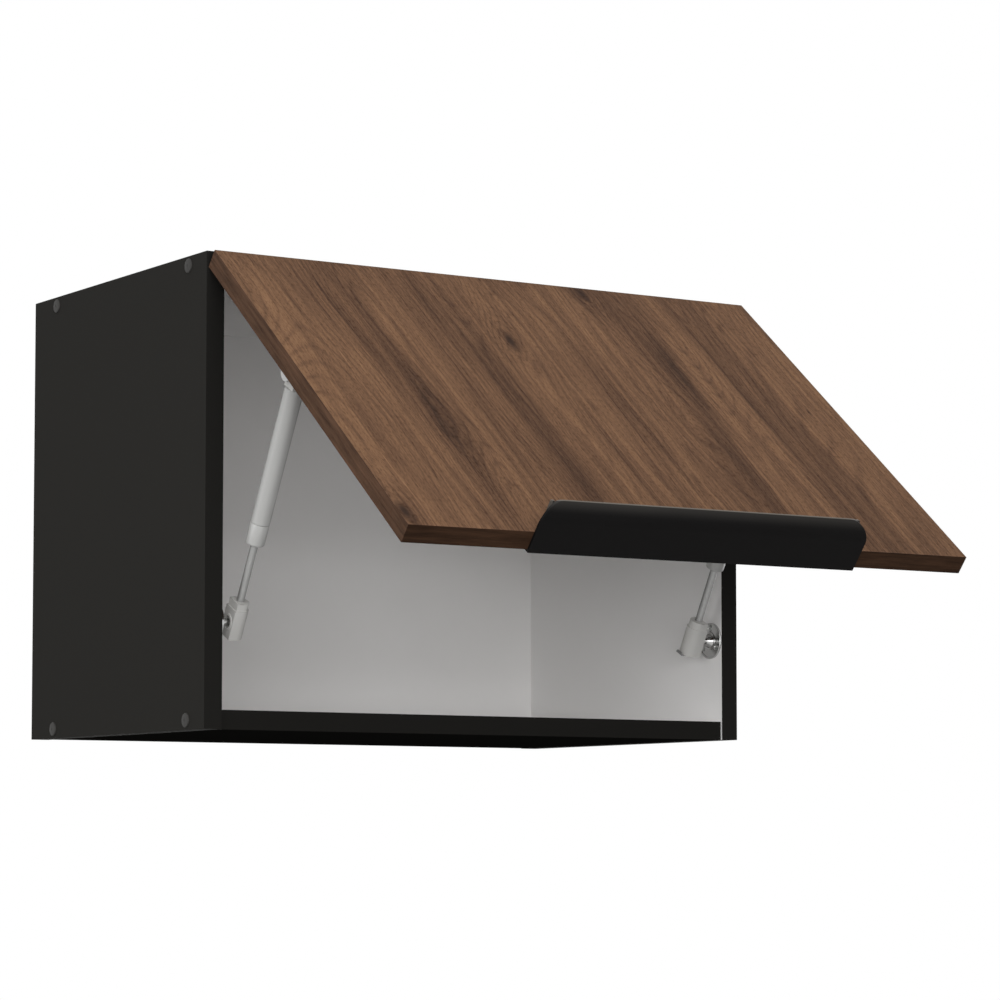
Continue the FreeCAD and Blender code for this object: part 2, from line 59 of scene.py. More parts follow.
# %% Camera
camera_place = Vector((-1.4618, -2.6127, -0.4091))
camera_azimuth = math.radians(-32.646)
camera_rise = math.radians(4.116)
looking = Vector((
    -math.sin(camera_azimuth) * math.cos(camera_rise),
    math.cos(camera_azimuth) * math.cos(camera_rise),
    math.sin(camera_rise),
))
lens = bpy.data.cameras.new("view")
lens.sensor_width = 36.0
lens.lens = 123.68
lens.shift_y = 0.1
camera = bpy.data.objects.new("view", lens)
camera.location = camera_place
camera.rotation_euler = looking.to_track_quat("-Z", "Y").to_euler()
bpy.context.scene.collection.objects.link(camera)
bpy.context.scene.camera = camera
bpy.context.scene.view_settings.view_transform = "Standard"
print("camera at", [round(v, 3) for v in camera_place])

# %% [markdown]
# ## Writing finishes as sums
#
# A finish is a small network of shader nodes. Wiring dozens of Math nodes by hand hides the idea, so
# one class wraps an output socket: adding or multiplying it adds the Math node. Every other kind of
# node comes from one method, which sets the node's settings first and then its sockets.

# %% A socket that can be added and multiplied
class Value:
    """An output socket. Arithmetic on it adds Math nodes to its finish."""

    def __init__(self, finish, socket):
        self.finish = finish
        self.socket = socket

    def maths(self, operation, *terms):
        inputs = dict(enumerate((self,) + terms))
        return self.finish.node("ShaderNodeMath", {"operation": operation}, inputs)

    def __add__(self, other):
        return self.maths("ADD", other)

    def __radd__(self, other):
        return self.maths("ADD", other)

    def __sub__(self, other):
        return self.maths("SUBTRACT", other)

    def __rsub__(self, other):
        return self.finish.node("ShaderNodeMath", {"operation": "SUBTRACT"}, {0: other, 1: self})

    def __mul__(self, other):
        return self.maths("MULTIPLY", other)

    def __truediv__(self, other):
        return self.maths("DIVIDE", other)

    def __pow__(self, other):
        return self.maths("POWER", other)

    def __abs__(self):
        return self.maths("ABSOLUTE")

    def __gt__(self, other):
        return self.maths("GREATER_THAN", other)

    def __lt__(self, other):
        return self.maths("LESS_THAN", other)

    def largest(self, other):
        return self.maths("MAXIMUM", other)

    def wave(self):
        """A smooth ripple from 0 to 1 for each whole step of the value."""
        return (self * math.tau).maths("SINE") * 0.5 + 0.5

    def rise(self, low, high):
        """A soft step from 0 at low to 1 at high."""
        settings = {"interpolation_type": "SMOOTHSTEP"}
        return self.finish.node("ShaderNodeMapRange", settings, {"Value": self, 1: low, 2: high})


# %% A finish and its one way of adding nodes
class Finish:
    """A material, or the world, built from nodes."""

    def __init__(self, name, library=bpy.data.materials):
        self.made = library.new(name)
        self.made.use_nodes = True
        self.tree = self.made.node_tree
        self.tree.nodes.clear()

    def node(self, kind, settings=None, inputs=None, output=0):
        made = self.tree.nodes.new(kind)
        for name, setting in (settings or {}).items():
            if name == "stops":
                self.fill_ramp(made.color_ramp, setting)
            else:
                setattr(made, name, setting)
        for name, value in (inputs or {}).items():
            if isinstance(value, Value):
                self.tree.links.new(value.socket, made.inputs[name])
            else:
                made.inputs[name].default_value = value
        return Value(self, made.outputs[output]) if made.outputs else None

    def fill_ramp(self, ramp, stops):
        while len(ramp.elements) < len(stops):
            ramp.elements.new(1.0)
        for element, (position, colour) in zip(ramp.elements, stops):
            element.position = position
            element.color = colour

    def place(self):
        return self.node("ShaderNodeTexCoord", output="Object")

    def split(self, vector):
        first = self.node("ShaderNodeSeparateXYZ", inputs={0: vector})
        outputs = first.socket.node.outputs
        return [Value(self, outputs[index]) for index in range(3)]

    def join(self, x, y, z=0.0):
        return self.node("ShaderNodeCombineXYZ", inputs={0: x, 1: y, 2: z})

    def noise(self, vector, scale=1.0, detail=2.0, roughness=0.5):
        inputs = {"Vector": vector, "Scale": scale, "Detail": detail, "Roughness": roughness}
        return self.node("ShaderNodeTexNoise", inputs=inputs)

    def blend(self, mask, first, second):
        return self.node("ShaderNodeMix", {"data_type": "RGBA"}, {0: mask, 6: first, 7: second}, output=2)

    def shade(self, mask, colour):
        """A colour darkened or lightened by a value around 1."""
        grey = self.join(mask, mask, mask)
        settings = {"data_type": "RGBA", "blend_type": "MULTIPLY"}
        return self.node("ShaderNodeMix", settings, {0: 1.0, 6: colour, 7: grey}, output=2)

    def bump(self, height, strength, distance):
        inputs = {"Height": height, "Strength": strength, "Distance": distance}
        return self.node("ShaderNodeBump", inputs=inputs)

    def surface(self, **sockets):
        inputs = {name.replace("_", " "): value for name, value in sockets.items()}
        shader = self.node("ShaderNodeBsdfPrincipled", inputs=inputs)
        self.node("ShaderNodeOutputMaterial", inputs={0: shader})
        print("finish:", self.made.name, "with", len(self.tree.nodes), "nodes")
        return self.made

    def in_view(self):
        """1 for rays of the camera, mirrors and windows, 0 for those that only carry light."""
        camera_ray = self.node("ShaderNodeLightPath", output="Is Camera Ray")
        outputs = camera_ray.socket.node.outputs
        mirror_ray = Value(self, outputs["Is Glossy Ray"])
        window_ray = Value(self, outputs["Is Transmission Ray"])
        return camera_ray.largest(mirror_ray).largest(window_ray)


# %% Colours as a paint card gives them
def paint(red, green, blue):
    """A screen colour of 0 to 255, as the linear colour that a shader takes."""
    linear = []
    for level in (red, green, blue):
        share = level / 255
        linear.append(share / 12.92 if share <= 0.04045 else ((share + 0.055) / 1.055) ** 2.4)
    return (*linear, 1.0)


def wear(node_names, material):
    """Give CAD nodes a finish."""
    for name in node_names:
        slots = nodes[name].data.materials
        slots.clear()
        slots.append(material)
    print(material.name, "on", len(node_names), "nodes")


# %% [markdown]
# ## Graphite board, white inside
#
# The carcass is melamine-faced chipboard: graphite on the outer faces and edges, white on the inner ones.
# One finish does for all the boards, because a point's place says which face it lies on: inside the box of
# the cupboard it is white. A strip of graphite edge band wraps the front edges, and its joint shows as a
# hairline. The band is painted darker, as painted shade on the forward-facing edges. Melamine has a fine
# pearl, a bump of about a millimetre.

# %% Graphite and white board
inside_x = 0.2352
inside_low = -0.3052
inside_high = 0.0302
side_front = -0.307
panel_front = -0.3045
panel_half = 0.2349
band = 0.0006
hair = 0.0001


def melamine(name, sheen):
    """Graphite board with white inner faces, and its front edge band painted darker as painted shade."""
    board = Finish(name)
    spot = board.place()
    x, y, z = board.split(spot)
    between = (z > inside_low) * (z < inside_high)
    inside = (abs(x) < inside_x) * between.largest(y < panel_front - hair)
    edge_band_and_shade = (y < side_front + band).largest((y < panel_front + band) * (abs(x) < panel_half))
    pearl = board.noise(spot, 950.0, 2.0, 0.55)
    cloud = board.noise(spot, 9.0, 3.0, 0.6)
    mottle = cloud * 0.16 + pearl * 0.14 + 0.85
    # The front edge band is painted darker here: painted shade on the forward-facing edges.
    graphite = board.shade(mottle * (1 - edge_band_and_shade * 0.42), paint(44, 43, 41))
    white = board.shade(cloud * 0.03 + pearl * 0.02 + 0.975, paint(240, 239, 238))
    return board.surface(
        Base_Color=board.blend(inside * (1 - edge_band_and_shade), graphite, white),
        Roughness=cloud * 0.1 + pearl * 0.08 + 0.62,
        Specular_IOR_Level=sheen,
        Normal=board.bump(pearl, 0.16, 0.0002),
    )


wear(["left_side", "right_side", "top_panel"], melamine("graphite_board", 0.02))
wear(["bottom_panel"], melamine("graphite_bottom", 0.0))

# %% [markdown]
# ## Back panel and wall rail
#
# The back is thin fibreboard, lacquered white towards the cupboard and left brown towards the wall.
# Its rear shows pressed fibres: long noise in every direction, darker and lighter by turns.

# %% White fibreboard back
back = Finish("fibreboard_back")
spot = back.place()
rear_face = -0.0131
bare_rear = back.split(spot)[1] > rear_face
fibres = back.noise(spot, 420.0, 4.0, 0.7)
pressed = back.noise(spot, 35.0, 3.0, 0.6)
brown = back.shade(fibres * 0.5 + pressed * 0.3 + 0.6, paint(140, 104, 72))
lacquer = back.shade(pressed * 0.03 + 0.985, paint(240, 239, 238))
fibreboard_back = back.surface(
    Base_Color=back.blend(bare_rear, lacquer, brown),
    Roughness=bare_rear * 0.35 + pressed * 0.08 + 0.42,
    Specular_IOR_Level=0.12,
    Normal=back.bump(fibres, 0.12, 0.0002),
)
wear(["back_panel"], fibreboard_back)

# %% Plain rail
rail = Finish("white_rail")
spot = rail.place()
y, z = rail.split(spot)[1:]
chips = rail.noise(spot, 260.0, 3.0, 0.65)
rail_half = 0.0297
rail_front = -0.0128
cut_edge = (abs(z) > rail_half) * (y > rail_front)
chipboard = rail.blend(chips.rise(0.35, 0.65), paint(150, 118, 84), paint(196, 170, 134))
white_rail = rail.surface(
    Base_Color=rail.blend(cut_edge, paint(222, 221, 217), chipboard),
    Roughness=cut_edge * 0.3 + chips * 0.1 + 0.42,
    Specular_IOR_Level=0.2,
    Normal=rail.bump(chips, 0.2, 0.0003),
)
wear(["wall_rail"], white_rail)

# %% [markdown]
# ## Walnut flap
#
# The flap is faced with a walnut-grain foil whose grain runs from the hinge to the lower edge. The
# flap hangs open, so a Mapping node first turns the pattern into the closed flap's own axes: across,
# depth and along. Real figure is growth rings cut at a slant, so every layer is a noise that is stretched
# along the grain: broad staves, flames, fine lines, flecks and pores as short dark dashes. Contour lines
# of a slow noise give the arches. A few knots push the grain aside, each with a dark core, rings and a
# smoky halo, and dark streaks run where the photographed board has them.

# %% The closed flap's axes
hinge_pivot = Vector((0.0, -0.3185, 0.0355))
open_angle = math.radians(50.86)
to_closed = Matrix.Rotation(open_angle, 3, "X")
walnut = Finish("walnut_foil")
closed_spot = walnut.node("ShaderNodeMapping", inputs={
    "Vector": walnut.place(),
    "Rotation": (open_angle, 0.0, 0.0),
    "Location": tuple(-(to_closed @ hinge_pivot)),
})
x, y, z = walnut.split(closed_spot)
flap_low = -0.3618
flap_high = 0.0062
flap_half = 0.2488
foil = 0.0002
shaded_end_edge = (z < flap_low + foil).largest(z > flap_high - foil)
side_edge = abs(x) > flap_half
across = x + y
along = z
print("grain runs along z of the closed flap, from", flap_high, "to", flap_low)

# %% Grain pushed aside by knots
knots = [
    (-0.036, -0.092, 0.010, 0.030, 1.0, 1.0),
    (-0.250, -0.345, 0.009, 0.022, 1.0, 0.9),
    (-0.156, -0.225, 0.012, 0.050, 0.15, 0.7),
    (0.078, -0.003, 0.011, 0.022, 0.9, 0.9),
    (0.212, -0.162, 0.0025, 0.010, 0.9, 0.4),
    (0.082, -0.228, 0.014, 0.060, 0.1, 0.3),
]
slow_sway = walnut.noise(walnut.join(across * 7.0, along * 2.2, 0.3), 1.0, 2.0, 0.5) - 0.5
quick_sway = walnut.noise(walnut.join(across * 40.0, along * 14.0, 1.7), 1.0, 2.0, 0.5) - 0.5
grain = across + slow_sway * 0.024 + quick_sway * 0.004
eye = 0.0
smoke = 0.0
year_lines = 0.0
for knot_across, knot_along, half_width, half_length, core, halo in knots:
    off_across = (across - knot_across + quick_sway * 0.008) / half_width
    off_along = (along - knot_along) / half_length
    away = off_across * off_across + off_along * off_along
    pull = (away * -0.55).maths("EXPONENT")
    grain = grain - off_across * pull * (half_width * 0.75)
    eye = eye + (away * -3.2).maths("EXPONENT") * core
    smoke = smoke + (away * -0.4).maths("EXPONENT") * halo
    ripple = (away ** 0.5 * 2.4 + quick_sway * 1.5).wave()
    year_lines = year_lines + ripple * (away * -0.45).maths("EXPONENT") * halo
print("knots:", len(knots))

# %% Dark streaks
streaks = [
    (0.026, -0.165, 0.007, 0.070, 1.0),
    (0.033, -0.235, 0.007, 0.045, 0.8),
    (0.110, -0.108, 0.007, 0.035, 0.9),
    (-0.066, -0.190, 0.016, 0.090, 0.3),
    (-0.150, -0.200, 0.010, 0.080, 0.3),
]
for streak_across, streak_along, half_width, half_length, depth in streaks:
    off_across = (grain - streak_across) / half_width
    off_along = (along - streak_along) / half_length
    smoke = smoke + ((off_across * off_across + off_along * off_along) * -0.7).maths("EXPONENT") * depth
print("streaks:", len(streaks))

# %% Staves, flames, lines, flecks and pores
staves = walnut.noise(walnut.join(grain * 15.0, along * 1.3, 2.0), 1.0, 1.0, 0.4).rise(0.46, 0.54)
flames = walnut.noise(walnut.join(grain * 46.0, along * 5.0, 3.0), 1.0, 2.0, 0.5)
lines = walnut.noise(walnut.join(grain * 190.0, along * 2.5, 5.0), 1.0, 4.0, 0.8)
flecks = walnut.noise(walnut.join(grain * 900.0, along * 70.0, 8.0), 1.0, 2.0, 0.6)
dashes = walnut.noise(walnut.join(grain * 980.0, along * 230.0, 9.0), 1.0, 1.0, 0.5)
pores = dashes.rise(0.5, 0.68)
hills = walnut.noise(walnut.join(grain * 10.0, along * 1.8, 4.0), 1.0, 1.0, 0.4)
arches = (hills * 60.0).wave() ** 4.0 * flames.rise(0.4, 0.55)
figure = staves * 0.16 + flames * 0.7 + lines * 1.25 + flecks * 0.5 - 1.305
tone = figure - arches * 0.16 - smoke * 0.18 - year_lines * 0.14 + 0.5
wood = walnut.node("ShaderNodeValToRGB", {"stops": [
    (0.0, paint(54, 37, 27)),
    (0.25, paint(79, 56, 41)),
    (0.5, paint(105, 77, 57)),
    (0.75, paint(126, 94, 69)),
    (1.0, paint(146, 110, 82)),
]}, {0: tone})
wood = walnut.shade(1 - pores * 0.25, wood)
wood = walnut.blend(eye.rise(0.1, 1.1), wood, paint(46, 31, 23))
edge_strip = walnut.noise(walnut.join(y * 200.0, x * 12.0, z * 12.0), 1.0, 4.0, 0.75)
edge_shade = edge_strip * 3.0 - 0.5
# The end edges are a darker copy of the side edges' brown: painted shade, as the lower edge faces down.
wood = walnut.blend(shaded_end_edge, wood, walnut.shade(edge_shade, paint(57, 40, 29)))
wood = walnut.blend(side_edge, wood, walnut.shade(edge_shade, paint(82, 60, 46)))
walnut_foil = walnut.surface(
    Base_Color=wood,
    Roughness=0.62 - flecks * 0.1 + pores * 0.12,
    Specular_IOR_Level=0.04,
    Normal=walnut.bump(flecks * 0.4 - pores, 0.25, 0.0002),
)
wear(["flap_panel"], walnut_foil)

# %% [markdown]
# ## Black handle
#
# The handle is an aluminium strip, bent to a lip and anodised black. Drawing leaves hairlines along its
# length, so the noise is stretched along X and very fine across it. The curl of the lip is painted lighter
# towards the rim, as painted light where the lip turns up, and the rim and the end cheeks lighter still, as
# a painted highlight: the angle round the lip's own axis says how near a point is to the rim.

# %% Black anodised strip
lip_axis = Vector((0.0, -0.3335, -0.3049))
lip_inner = 0.0214
lip_sweep = math.radians(42.3)
anodised = Finish("black_anodised")
spot = anodised.place()
x, y, z = anodised.split(spot)
hairlines = anodised.noise(anodised.join(x * 9.0, y * 1500.0, z * 1500.0), 1.0, 3.0, 0.6)
bloom = anodised.noise(spot, 14.0, 2.0, 0.5)
round_lip = anodised.node("ShaderNodeMapping", inputs={
    "Vector": spot,
    "Rotation": (open_angle, 0.0, 0.0),
    "Location": tuple(hinge_pivot - to_closed @ hinge_pivot - lip_axis),
})
ahead, up = anodised.split(round_lip)[1:]
angle = (0 - ahead).maths("ARCTAN2", 0 - up)
radius = (ahead * ahead + up * up) ** 0.5
on_lip = ahead < 0.0
curl = (angle / lip_sweep).rise(0.45, 1.1) * on_lip
rim = (angle / lip_sweep).rise(0.985, 1.01) * on_lip
cheek = (radius < lip_inner - foil) * on_lip
# Painted light: the black is painted lighter up the curl of the lip towards the rim.
painted_lip_light = anodised.blend(curl * (bloom * 0.4 + 0.8), paint(15, 14, 14), paint(50, 48, 46))
# Painted highlight: the rim, and half as much the end cheeks, are painted pale grey.
painted_lip_light = anodised.blend(rim.largest(cheek * 0.5), painted_lip_light, paint(108, 103, 96))
black_anodised = anodised.surface(
    Base_Color=anodised.shade(hairlines * 0.3 + bloom * 0.2 + 0.75, painted_lip_light),
    Roughness=hairlines * 0.1 + bloom * 0.06 + 0.42,
    Specular_IOR_Level=0.06,
    Normal=anodised.bump(hairlines, 0.08, 0.0001),
)
wear(["handle"], black_anodised)

# %% [markdown]
# ## Plastics and rubbers
#
# The end sockets and caps are injection moulded: a fine spark-eroded skin and a soft satin sheen. The
# buffers are clear silicone and the seals are black rubber.

# %% Moulded and soft finishes
def moulded(name, colour, gloss, grain_scale, sheen):
    """A moulded skin: pale mottling, a fine grain and a satin surface."""
    made = Finish(name)
    spot = made.place()
    skin = made.noise(spot, grain_scale, 2.0, 0.6)
    flow = made.noise(spot, 60.0, 2.0, 0.5)
    return made.surface(
        Base_Color=made.shade(skin * 0.06 + flow * 0.06 + 0.94, colour),
        Roughness=skin * 0.12 + flow * 0.08 + gloss,
        Specular_IOR_Level=sheen,
        Normal=made.bump(skin, 0.12, 0.0001),
    )


white_moulding = moulded("white_moulding", paint(198, 197, 194), 0.42, 1600.0, 0.3)
cap_moulding = moulded("cap_moulding", paint(48, 47, 45), 0.4, 1600.0, 0.2)
seal_rubber = moulded("seal_rubber", paint(22, 22, 22), 0.62, 2200.0, 0.3)
clear_buffer = moulded("clear_buffer", paint(205, 206, 204), 0.3, 900.0, 0.5)
wear(["screw_caps"], cap_moulding)
wear(["left_spring_seal", "right_spring_seal"], seal_rubber)
wear(["flap_bumpers"], clear_buffer)

# %% [markdown]
# ## Metals
#
# Each gas spring has a light grey lacquered tube and a ground steel rod. The lower brackets are bright
# chrome, the upper ones brushed steel, the hinges nickel, and the screws zinc. What tells metals apart is
# their tint, how rough they are and the direction of their scratches, so one maker takes these as values.

# %% Metal finishes
def metal(name, tint, gloss, scratches, depth):
    """Plated or ground metal; scratches gives the noise scale along x, y and z."""
    made = Finish(name)
    spot = made.place()
    x, y, z = made.split(spot)
    lines = made.noise(made.join(x * scratches[0], y * scratches[1], z * scratches[2]), 1.0, 3.0, 0.6)
    smoke = made.noise(spot, 45.0, 2.0, 0.5)
    return made.surface(
        Base_Color=made.shade(lines * 0.08 + smoke * 0.12 + 0.9, tint),
        Metallic=1.0,
        Roughness=lines * 0.08 + smoke * 0.06 + gloss,
        Normal=made.bump(lines, depth, 0.00005),
    )


chrome = metal("bright_chrome", paint(186, 186, 185), 0.12, (300.0, 300.0, 300.0), 0.03)
nickel = metal("nickel_plate", paint(206, 203, 197), 0.16, (900.0, 60.0, 900.0), 0.06)
zinc = metal("zinc_plate", paint(200, 201, 199), 0.26, (700.0, 700.0, 700.0), 0.1)
ground_steel = metal("ground_steel", paint(152, 152, 151), 0.55, (2600.0, 400.0, 2600.0), 0.08)
brushed_steel = metal("brushed_steel", paint(182, 182, 181), 0.38, (900.0, 60.0, 900.0), 0.08)


def both(*names):
    """The left and right node of each name."""
    return [side + "_" + name for name in names for side in ("left", "right")]


wear(both("lower_bracket", "lower_ball_stud"), chrome)
wear(both("upper_bracket", "upper_ball_stud"), brushed_steel)
wear(both("hinge_cup", "hinge_arm", "hinge_plate", "hinge_pin"), nickel)
screw_nodes = both("hinge_cup_screws", "hinge_plate_screws", "upper_bracket_screws", "lower_bracket_screws")
wear(screw_nodes + ["handle_screws", "carcass_screws"], zinc)
wear(both("spring_rod", "spring_piston", "spring_lower_clip", "spring_upper_clip"), ground_steel)

# %% Lacquered tube
lacquer = Finish("grey_lacquer")
spot = lacquer.place()
peel = lacquer.noise(spot, 520.0, 2.0, 0.5)
drift = lacquer.noise(spot, 22.0, 2.0, 0.5)
grey_lacquer = lacquer.surface(
    Base_Color=lacquer.shade(drift * 0.05 + peel * 0.02 + 0.965, paint(184, 184, 182)),
    Roughness=peel * 0.08 + drift * 0.06 + 0.26,
    Coat_Weight=0.3,
    Coat_Roughness=0.15,
    Normal=lacquer.bump(peel, 0.08, 0.0001),
)
wear(both("spring_tube", "spring_rod_guide"), grey_lacquer)
wear(both("spring_lower_socket", "spring_upper_socket"), white_moulding)

# %% [markdown]
# ## Working on a piece by hand
#
# The fittings are modelled as at a bench: a primitive is put down at its size, some of its faces or edges
# are picked by where they lie, and an operator extrudes, insets or bevels them. Blender's operators act
# on whatever is selected, so each helper first clears the selection and then says exactly what it means.
# A face or edge counts as lying along an axis when that share of its direction is over square_on, and at a
# height when it is within near of it.

# %% Picking and finishing
mm = 0.001
square_on = 0.9
near = 0.01
sides = (("left", -1), ("right", 1))
carrier = {}
for body_name, names in frame["record"]["behaviour"]["bodies"].items():
    for name in names:
        carrier[name] = body_name


def alone(piece):
    """Select one piece and nothing else."""
    bpy.ops.object.select_all(action="DESELECT")
    piece.select_set(True)
    bpy.context.view_layer.objects.active = piece


def settle(piece):
    """Take a piece's place, turn and scale into its mesh."""
    alone(piece)
    bpy.ops.object.transform_apply(location=True, rotation=True, scale=True)


def pick(piece, kind, test):
    """Open a piece in edit mode with just those faces or edges selected that pass a test."""
    alone(piece)
    bpy.ops.object.mode_set(mode="EDIT")
    bpy.ops.mesh.select_mode(type=kind)
    bpy.ops.mesh.select_all(action="DESELECT")
    bpy.ops.object.mode_set(mode="OBJECT")
    mesh = piece.data
    if kind == "FACE":
        for face in mesh.polygons:
            face.select = test(face.center / mm, face.normal)
    else:
        for edge in mesh.edges:
            start, end = (mesh.vertices[index].co for index in edge.vertices)
            edge.select = test((start + end) / 2 / mm, (end - start).normalized())
    bpy.ops.object.mode_set(mode="EDIT")


def done():
    """Leave edit mode."""
    bpy.ops.object.mode_set(mode="OBJECT")


def bevel(width, steps):
    """Round the selected edges."""
    bpy.ops.mesh.bevel(offset=width * mm, segments=steps, affect="EDGES", clamp_overlap=True)


def draw_out(x, y, z):
    """Extrude the selected faces by a distance in millimetres."""
    bpy.ops.mesh.extrude_region_move(TRANSFORM_OT_translate={"value": (x * mm, y * mm, z * mm)})


def block(name, low, high):
    """A box between two corners, in millimetres, to start a piece from."""
    bpy.ops.object.select_all(action="DESELECT")
    middle = [(a + b) / 2 * mm for a, b in zip(low, high)]
    size = [(b - a) * mm for a, b in zip(low, high)]
    bpy.ops.mesh.primitive_cube_add(size=1.0, location=middle, scale=size)
    piece = bpy.context.object
    piece.name = name
    settle(piece)
    return piece


def bar(name, radius, low, high, around="Z", corners=48):
    """A round bar along one axis, in millimetres, to start a piece from or to drill with."""
    bpy.ops.object.select_all(action="DESELECT")
    turn = {"X": (0.0, math.pi / 2, 0.0), "Z": (0.0, 0.0, 0.0)}[around]
    middle = (low + high) / 2 * mm
    place = (middle, 0.0, 0.0) if around == "X" else (0.0, 0.0, middle)
    bpy.ops.mesh.primitive_cylinder_add(
        vertices=corners, radius=radius * mm, depth=(high - low) * mm, location=place, rotation=turn)
    piece = bpy.context.object
    piece.name = name
    settle(piece)
    return piece


def combine(piece, other, operation):
    """Join or cut a piece with another one, which is used up."""
    modifier = piece.modifiers.new("combine", "BOOLEAN")
    modifier.operation = operation
    modifier.object = other
    modifier.solver = "EXACT"
    alone(piece)
    bpy.ops.object.modifier_apply(modifier=modifier.name)
    bpy.data.objects.remove(other)


def smooth(piece, material, degrees=32.0):
    """Shade a piece smooth except at its sharp edges, and give it its finish."""
    alone(piece)
    bpy.ops.object.shade_smooth_by_angle(angle=math.radians(degrees))
    piece.data.materials.clear()
    piece.data.materials.append(material)


def copies(model, name, places):
    """Copy a model to each place, every copy with its own mesh, as one piece."""
    made = []
    for place in places:
        copy = model.copy()
        copy.data = model.data.copy()
        bpy.context.scene.collection.objects.link(copy)
        copy.matrix_world = place
        settle(copy)
        made.append(copy)
    alone(made[0])
    for copy in made:
        copy.select_set(True)
    if len(made) > 1:
        bpy.ops.object.join()
    made[0].name = name
    return made[0]


def stand_for(piece, node):
    """Put a piece in the place of a CAD node, on the same body, and hide the node."""
    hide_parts(node)
    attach(piece, carrier[node])
    print(piece.name, "for", node, "with", len(piece.data.polygons), "faces")


def discard(model):
    """Take away a model once its copies are in place."""
    bpy.data.objects.remove(model)


# %% Directions and the flap's swing
closed_to_open = (
    Matrix.Translation(hinge_pivot)
    @ Matrix.Rotation(-open_angle, 4, "X")
    @ Matrix.Translation(-hinge_pivot)
)


def facing(x, y, z, direction):
    """A place in millimetres, with the model's Z axis turned to a direction."""
    turn = Vector(direction).to_track_quat("Z", "Y").to_matrix().to_4x4()
    return Matrix.Translation(Vector((x, y, z)) * mm) @ turn


print("bodies:", sorted(set(carrier.values())))

# %% [markdown]
# ## End sockets of the gas springs
#
# Each spring ends in a moulded nylon socket that snaps over a ball stud. Its section is flat towards the
# stud and half round on the other side, and its toe is cut off square. A narrower collar grips the rod, so
# a ledge runs round below it. On the side of the stud a raised ring frames the ball's pocket. A round bar
# is the start: the half of it that faces the stud is squared up by a box, its top is inset and drawn out
# for the collar, and three drills open the pocket and the rod's hole. The upper socket's toe is cut shorter,
# because the flap passes close by it as it swings down.

# %% One socket
ball_room = 5.06


def end_socket(reach, collar, toe):
    """A socket with its ball at the origin, its collar up Z and its pocket open towards +X."""
    half = 8.1
    flat = 6.2
    ledge = 0.9
    ring_radius, ring_low, ring_high = 6.7, 4.0, 6.9
    pocket_end = 9.0
    rod_room = 3.02
    rod_grip = 7.0
    clear_of_it = 20.0
    shoulder = reach - collar
    socket = bar("socket", half, toe, shoulder, corners=64)
    combine(socket, block("flat_half", (0.0, -half, toe), (flat, half, shoulder)), "UNION")
    beyond = block("beyond", (flat, -clear_of_it, -clear_of_it), (clear_of_it, clear_of_it, 2 * clear_of_it))
    combine(socket, beyond, "DIFFERENCE")
    pick(socket, "FACE", lambda at, normal: normal.z > square_on and at.z > shoulder - near)
    bpy.ops.mesh.inset(thickness=ledge * mm)
    draw_out(0.0, 0.0, collar)
    done()
    pick(socket, "FACE", lambda at, normal: abs(normal.z) > square_on and abs(at.z - shoulder) > near)
    bpy.ops.mesh.region_to_loop()
    bevel(0.6, 3)
    done()
    pick(socket, "EDGE", lambda at, run: (
        at.x > flat - near and abs(run.z) > square_on and abs(at.y) > half / 2))
    bevel(0.5, 2)
    done()
    combine(socket, bar("ring", ring_radius, ring_low, ring_high, "X"), "UNION")
    combine(socket, bar("pocket", ball_room, 0.0, pocket_end, "X"), "DIFFERENCE")
    bpy.ops.object.select_all(action="DESELECT")
    bpy.ops.mesh.primitive_uv_sphere_add(segments=32, ring_count=16, radius=ball_room * mm)
    combine(socket, bpy.context.object, "DIFFERENCE")
    combine(socket, bar("rod_hole", rod_room, reach - rod_grip, reach + 1.0), "DIFFERENCE")
    smooth(socket, white_moulding)
    print("socket", reach, "mm:", len(socket.data.polygons), "faces")
    return socket


lower_toe = -12.0
upper_toe = -9.0
lower_socket = end_socket(18.0, 6.0, lower_toe)
upper_socket = end_socket(13.5, 5.5, upper_toe)

# %% [markdown]
# ## Clips and collars
#
# A strip of spring steel under each toe keeps the ball in its pocket. It is cut from sheet and its end is
# turned up for a fingernail: a thin block is drawn out and then up, and its tab is narrowed. Where the rod
# leaves the tube, the tube's end is rolled in to a rounded collar, so a bar's lower rim is bevelled and
# the rod's way is drilled through it.

# %% One clip
clip_half = 4.5
clip_end = 4.5
clip_thickness = 0.6
tab_start = -9.2
tab_rise = 1.8
tab_share = 0.7
clip_gap = 0.05
clip_model = block("clip", (tab_start, -clip_half, -clip_thickness), (clip_end, clip_half, -clip_gap))
pick(clip_model, "FACE", lambda at, normal: normal.x < -square_on)
draw_out(-clip_thickness, 0.0, 0.0)
done()
pick(clip_model, "FACE", lambda at, normal: normal.z > square_on and at.x < tab_start)
draw_out(0.0, 0.0, tab_rise)
bpy.ops.transform.resize(value=(1.0, tab_share, 1.0), center_override=(0.0, 0.0, 0.0))
done()
pick(clip_model, "EDGE", lambda at, run: abs(run.z) > square_on and at.x > clip_end - near)
bevel(2.0, 4)
done()
smooth(clip_model, ground_steel)
print("clip:", len(clip_model.data.polygons), "faces")

# %% Collar where the rod leaves the tube
rod_mouth = 65.5
collar_end = rod_mouth + 17.6
tube_radius = 7.5
rod_way = 3.05
guide_model = bar("guide", tube_radius, rod_mouth, collar_end)
pick(guide_model, "EDGE", lambda at, run: at.z < rod_mouth + near)
bevel(1.6, 5)
done()
pick(guide_model, "EDGE", lambda at, run: at.z > collar_end - near)
bevel(0.25, 2)
done()
combine(guide_model, bar("rod_way", rod_way, rod_mouth - 1.0, collar_end + 1.4), "DIFFERENCE")
smooth(guide_model, grey_lacquer)
print("collar:", len(guide_model.data.polygons), "faces")

# %% [markdown]
# ## Both springs
#
# The line from the lower ball to the upper one gives the springs' lean. The upper socket hangs upside down
# on that line, and the left spring is the right one turned half round about it. The left spring's lower
# clip has its tab to the rear.

